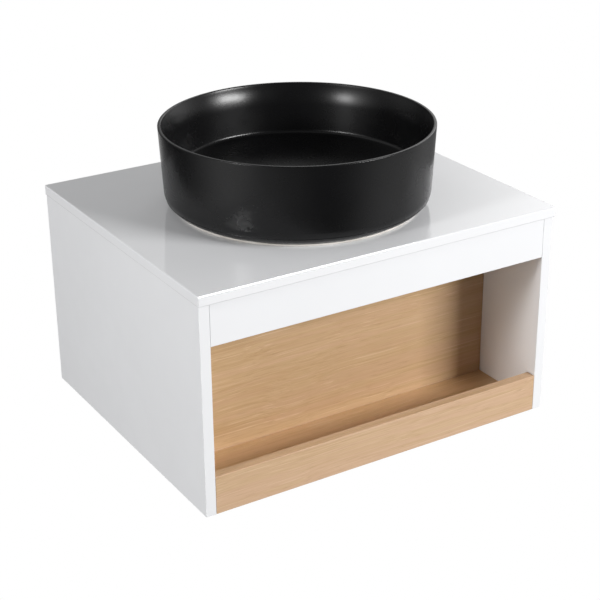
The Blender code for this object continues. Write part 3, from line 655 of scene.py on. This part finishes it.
def rounded_corner(before, corner, after, radius, steps):
    """Replace a corner between two lines of a section by a curve that starts radius away."""
    before, corner, after = Vector(before), Vector(corner), Vector(after)
    start = corner + (before - corner).normalized() * radius
    end = corner + (after - corner).normalized() * radius
    points = []
    for step in range(steps + 1):
        t = step / steps
        point = start * (1 - t) ** 2 + corner * 2 * t * (1 - t) + end * t ** 2
        points.append((point.x, point.y))
    return points


def lower_round(start, end):
    """The round under the wall, with the low ridge that the mould's parting line leaves."""
    points = []
    for step in range(LOWER_ROUND_STEPS + 1):
        angle = start + (end - start) * step / LOWER_ROUND_STEPS
        across = (angle - RIDGE_ANGLE) / RIDGE_HALF_ANGLE
        radius = LOWER_ROUND + RIDGE_HEIGHT * max(0.0, 1 - across ** 2)
        points.append(polar(LOWER_ROUND_CENTRE, LOWER_ROUND_LEVEL, radius, angle))
    return points


def outside_section():
    """Over the rim, down the tapering wall and round to the foot."""
    wall_angle = -math.degrees(math.atan(WALL_TAPER))
    foot_angle = -math.degrees(math.acos(FOOT_REACH / LOWER_ROUND))
    inner_edge = BASIN_RADIUS - RIM_THICKNESS + RIM_EDGE
    outer_edge = BASIN_RADIUS - RIM_EDGE
    section = arc(inner_edge, RIM_LEVEL, RIM_EDGE, RIM_START, 90, RIM_STEPS)
    section += arc(outer_edge, RIM_LEVEL, RIM_EDGE, 90, wall_angle, RIM_STEPS)
    for step in range(1, WALL_STEPS):
        height = RIM_LEVEL + (LOWER_ROUND_LEVEL - RIM_LEVEL) * step / WALL_STEPS
        section.append((BASIN_RADIUS - WALL_TAPER * (RIM_LEVEL - height), height))
    return section + lower_round(wall_angle, foot_angle)


def underside_section():
    """Round the foot ring, and across the recess to the boss round the waste."""
    inner = FOOT_RADIUS - FOOT_WIDTH
    boss_level = SEAT_LEVEL - BOSS_DEPTH
    section = [(FOOT_RADIUS, GLAZE_END)]
    section += arc(FOOT_RADIUS - FOOT_EDGE, FOOT_EDGE, FOOT_EDGE, 0, -90, 4)
    section += [(inner, 0), (inner - FOOT_DRAFT, FOOT_RECESS)]
    section += [(side, bowl_floor(side) - FLOOR_THICKNESS) for side in (RECESS_SIDE, BOSS_SIDE)]
    return section + [(BOSS_RADIUS, boss_level), (DRAIN_HOLE, boss_level)]


def bowl_section():
    """Over the waste's seat, out along the floor and up the wall."""
    wall = bowl_wall(BOWL_WALL_STEPS)
    seat = (SEAT_RADIUS, SEAT_LEVEL)
    floor_edge = (SEAT_RADIUS, DRAIN_LEVEL)
    section = [(DRAIN_HOLE, SEAT_LEVEL), seat]
    section += rounded_corner(seat, floor_edge, wall[0], DRAIN_EDGE, 6)
    for step in range(1, FLOOR_STEPS):
        radius = SEAT_RADIUS + (wall[0][0] - SEAT_RADIUS) * step / FLOOR_STEPS
        section.append((radius, bowl_floor(radius)))
    section += rounded_corner(floor_edge, wall[0], wall[1], CORNER_ROUND, CORNER_STEPS)
    return section + wall[CORNER_POINTS:-1]


def finish_at(radius, height):
    """The glaze is the basin's first material, and the bare foot ring's is its second."""
    return 1 if height < GLAZE_END and radius > RECESS_SIDE else 0


def make_basin():
    """The glazed basin on its unglazed foot ring."""
    section = outside_section() + underside_section() + bowl_section()
    basin = turned("glazed_basin", section, BASIN_SEGMENTS, [GLAZE, BISQUE], material_of=finish_at)
    stand_for(basin, "vanity", "black_ceramic", "basin")


# Waste. Heights are above the basin's foot, and the outer sizes are the CAD nodes' own.

WASTE_SEGMENTS = 96
SOFT_EDGE = 0.0004
SOFT_STEPS = 4
NUT_HOLE = 0.0213
UPPER_GASKET_HOLE = 0.0232

FLANGE_THICKNESS = 0.005
FLANGE_EDGE = 0.0012
DISH_RADIUS = 0.025         # of the dished seat in the flange
DISH_LEVEL = 0.0275
DISH_EDGE = 0.0008
TAIL_RADIUS = 0.0209
TAIL_BORE = 0.0175
TAIL_CHAMFER = 0.0012
THREAD_PITCH = 0.00231
THREAD_DEPTH = 0.0011
THREAD_RELIEF = 0.0012      # plain tail between flange and thread
THREAD_FLAT = 0.15          # width of crest and root, as a share of the pitch
THREAD_STEPS = 6            # section points for each turn of the thread

HUB_RADIUS = 0.0070         # the cross that holds the sleeve
HUB_HOLE = 0.0043
HUB_FLOOR = 0.0015
HUB_HIGH = 0.0065
ARM_LOW = 0.002
ARM_HIGH = 0.006
ARM_HALF_WIDTH = 0.0012
ARM_OVERLAP = 0.0004        # the arms run this far into the hub and the tail


def span(node):
    """A turned node's outer radius, and its lowest and highest point."""
    low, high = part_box(node)
    return (high.x - low.x) / 2, low.z - FOOT_Z, high.z - FOOT_Z


def softened(outline, radius=SOFT_EDGE):
    """An outline with its corners rounded, apart from those on the axis."""
    share = 0.45                # the most of a side next to a corner that its round may take up
    points = []
    for index, corner in enumerate(outline):
        before = outline[index - 1]
        after = outline[(index + 1) % len(outline)]
        if corner[0] <= 0:
            points.append(corner)
            continue
        nearest = min((Vector(end) - Vector(corner)).length for end in (before, after))
        points += rounded_corner(before, corner, after, min(radius, nearest * share), SOFT_STEPS)
    return points


def make_ring(name, node, inner, material, slot, edge=SOFT_EDGE):
    """A gasket or a washer, with rounded edges."""
    outer, low, high = span(node)
    section = softened([(inner, high), (outer, high), (outer, low), (inner, low)], edge)
    ring = turned(name, section, WASTE_SEGMENTS, [material])
    stand_for(ring, "vanity", slot, node)


def add_bar(shape, low, high, edge):
    """Add a box between two corners, with rounded edges."""
    size = high - low
    place = Matrix.Translation((low + high) / 2) @ Matrix.Diagonal((*size, 1.0))
    corners = bmesh.ops.create_cube(shape, size=1.0, matrix=place)["verts"]
    edges = {side for corner in corners for side in corner.link_edges}
    bmesh.ops.bevel(shape, geom=list(edges), offset=edge, segments=2, affect="EDGES", profile=0.5)


def flange_section(flange, flange_low, high):
    """Out of the dish, over the flange and in under it."""
    dish = (DISH_RADIUS, DISH_LEVEL)
    dish_rim = (DISH_RADIUS, high)
    upper = (flange, high)
    lower = (flange, flange_low)
    tail = (TAIL_RADIUS, flange_low)
    section = rounded_corner(dish, dish_rim, upper, DISH_EDGE, 4)
    section += rounded_corner(dish_rim, upper, lower, FLANGE_EDGE, 6)
    section += rounded_corner(upper, lower, tail, SOFT_EDGE, 3)
    return section


def tail_section(flange_low, thread_high, low):
    """Down the outside of the tail, and up its bore to the dish."""
    thread_low = low + TAIL_CHAMFER
    points = int((thread_high - thread_low) / THREAD_PITCH * THREAD_STEPS)
    section = [(TAIL_RADIUS, flange_low), (TAIL_RADIUS, thread_high)]
    for point in range(1, points + 1):
        height = thread_high + (thread_low - thread_high) * point / points
        section.append((TAIL_RADIUS, height))
    section += [(TAIL_RADIUS - TAIL_CHAMFER, low), (TAIL_BORE, low), (TAIL_BORE, DISH_LEVEL)]
    return section


def threaded(thread_high):
    """A function that cuts a helical thread into the tail's outside, below a height."""

    def radius_at(angle, radius, height):
        """The radius that the thread leaves at a point of the tail."""
        if abs(radius - TAIL_RADIUS) > SOFT_EDGE:
            return radius
        turn = (height / THREAD_PITCH - angle / math.tau) % 1.0
        flank = abs(2 * turn - 1)
        cut = min(1.0, max(0.0, (flank - THREAD_FLAT) / (1 - 2 * THREAD_FLAT)))
        run_out = min(1.0, max(0.0, (thread_high - height) / THREAD_PITCH))
        return radius - THREAD_DEPTH * cut * run_out

    return radius_at


def add_cross(shape):
    """Add the cross inside the tail: a cup for the sleeve, on four arms."""
    cup = [(0, HUB_FLOOR), (HUB_HOLE, HUB_FLOOR), (HUB_HOLE, HUB_HIGH),
           (HUB_RADIUS, HUB_HIGH), (HUB_RADIUS, 0.0), (0, 0.0)]
    add_turned(shape, softened(cup), WASTE_SEGMENTS)
    centre = Vector((AXIS_X, AXIS_Y, FOOT_Z))
    reaches = (HUB_RADIUS - ARM_OVERLAP, TAIL_BORE + ARM_OVERLAP)
    for way in (Vector((1, 0, 0)), Vector((-1, 0, 0)), Vector((0, 1, 0)), Vector((0, -1, 0))):
        side = Vector((abs(way.y), abs(way.x), 0)) * ARM_HALF_WIDTH
        corners = [centre + way * reach + shift for reach in reaches for shift in (-side, side)]
        low = Vector((min(c.x for c in corners), min(c.y for c in corners), FOOT_Z + ARM_LOW))
        high = Vector((max(c.x for c in corners), max(c.y for c in corners), FOOT_Z + ARM_HIGH))
        add_bar(shape, low, high, SOFT_EDGE)


def make_waste_body():
    """The flange with its dished seat, the threaded tail and the cross inside it."""
    flange, low, high = span("waste_body")
    flange_low = high - FLANGE_THICKNESS
    thread_high = flange_low - THREAD_RELIEF
    section = flange_section(flange, flange_low, high)
    section += tail_section(flange_low, thread_high, low)
    shape = bmesh.new()
    add_turned(shape, section, WASTE_SEGMENTS, radius_of=threaded(thread_high))
    add_cross(shape)
    waste = smooth_piece("threaded_waste", shape, [BLACK_METAL])
    stand_for(waste, "vanity", "black_metal", "waste_body")


def make_cartridge():
    """The click-clack mechanism's brass sleeve."""
    outer, low, high = span("waste_cartridge")
    bore = 0.0044
    bore_low = 0.0088
    neck = 0.0040
    shoulder = 0.0068
    groove = outer - 0.0006
    groove_low = 0.0215
    groove_high = 0.0227
    section = softened([
        (0, bore_low), (bore, bore_low), (bore, high), (outer, high),
        (outer, groove_high), (groove, groove_high), (groove, groove_low), (outer, groove_low),
        (outer, shoulder), (neck, shoulder), (neck, low), (0, low)])
    sleeve = turned("click_sleeve", section, WASTE_SEGMENTS, [BRASS])
    stand_for(sleeve, "vanity", "brass", "waste_cartridge")


def make_plug():
    """The plug: a shallow dome with a carrier for its seal and a boss for its plunger."""
    radius, low, high = span("waste_plug")
    sag = 0.0018                # of the dome, from its middle to its edge
    edge = 0.0018               # round of the dome's edge
    edge_level = high - sag - edge
    under = high - 0.005
    carrier = 0.0190
    carrier_low = 0.0300
    boss = 0.0060
    socket = 0.0035
    socket_high = 0.0379
    dome = radius - edge
    dome_steps = 12
    section = [(0, high)]
    for step in range(1, dome_steps):
        section.append((dome * step / dome_steps, high - sag * (step / dome_steps) ** 2))
    section += arc(dome, edge_level, edge, 84, 0, 8)
    below = softened([
        (radius, edge_level), (radius, under), (carrier, under), (carrier, carrier_low),
        (boss, carrier_low), (boss, low), (socket, low), (socket, socket_high), (0, socket_high)])
    section += below[SOFT_STEPS + 1:]       # the arc takes the place of the first corner
    plug = turned("domed_plug", section, WASTE_SEGMENTS, [BLACK_METAL])
    stand_for(plug, "plug", "black_metal", "waste_plug")


def make_seal():
    """The rubber seal, with a thin lip round its edge."""
    outer, low, high = span("plug_seal")
    inner = 0.0193
    lip = 0.0016
    lip_low = 0.0332
    section = softened([
        (inner, high), (outer, high), (outer, lip_low), (outer - lip, lip_low),
        (inner + lip, low + lip), (inner + lip / 2, low), (inner, low)], radius=0.0005)
    seal = turned("lipped_seal", section, WASTE_SEGMENTS, [RUBBER])
    stand_for(seal, "plug", "rubber", "plug_seal")


def make_plunger():
    """The stepped pin that slides in the sleeve."""
    radius, low, high = span("plug_plunger")
    tip = 0.0032
    shoulder = 0.0282
    section = softened([
        (0, high), (tip, high), (tip, shoulder), (radius, shoulder), (radius, low), (0, low)],
        radius=0.0008)
    plunger = turned("plug_pin", section, WASTE_SEGMENTS, [BRASS])
    stand_for(plunger, "plug", "brass", "plug_plunger")


def make_backnut():
    """A flanged hexagon nut with chamfered corners."""
    flange, low, high = span("waste_backnut")
    flange_low = high - 0.003
    corner = 0.031
    flat = corner * math.cos(math.radians(30))
    chamfer = 0.0016
    face_edge = corner - 2.4 * chamfer      # the lower face ends here, inside the flats
    hole_edge = chamfer / 2

    def hexagon(angle, radius, height):
        """The radius that the flats leave at a point below the flange."""
        if height > flange_low + SOFT_EDGE / 2 or radius < flat - 2 * chamfer:
            return radius
        off_flat = (math.degrees(angle) + 60) % 60 - 30
        return min(radius, flat / math.cos(math.radians(off_flat)))

    upper = (flange, high)
    lower = (flange, flange_low)
    section = [(NUT_HOLE, high - hole_edge), (NUT_HOLE + hole_edge, high)]
    section += rounded_corner((NUT_HOLE, high), upper, lower, SOFT_EDGE, 4)
    section += rounded_corner(upper, lower, (corner, flange_low), SOFT_EDGE, 4)
    section += [(corner, flange_low), (corner, low + chamfer), (face_edge, low),
                (NUT_HOLE + hole_edge, low), (NUT_HOLE, low + hole_edge)]
    nut = turned("hexagon_nut", section, WASTE_SEGMENTS, [BRASS], radius_of=hexagon)
    stand_for(nut, "vanity", "brass", "waste_backnut")


def make_waste():
    """The pop-up waste and what clamps it."""
    make_waste_body()
    make_cartridge()
    make_plug()
    make_seal()
    make_plunger()
    make_ring("upper_gasket", "waste_upper_gasket", UPPER_GASKET_HOLE, RUBBER, "rubber")
    make_ring("lower_gasket", "waste_lower_gasket", NUT_HOLE, RUBBER, "rubber", edge=0.0008)
    make_ring("slip_washer", "waste_slip_washer", NUT_HOLE, PLASTIC, "hanger_plastic")
    make_backnut()


make_camera()
make_floor()
make_world()
make_softboxes()
bpy.context.scene.view_settings.view_transform = "Standard"
finish_nodes()
make_basin()
make_waste()
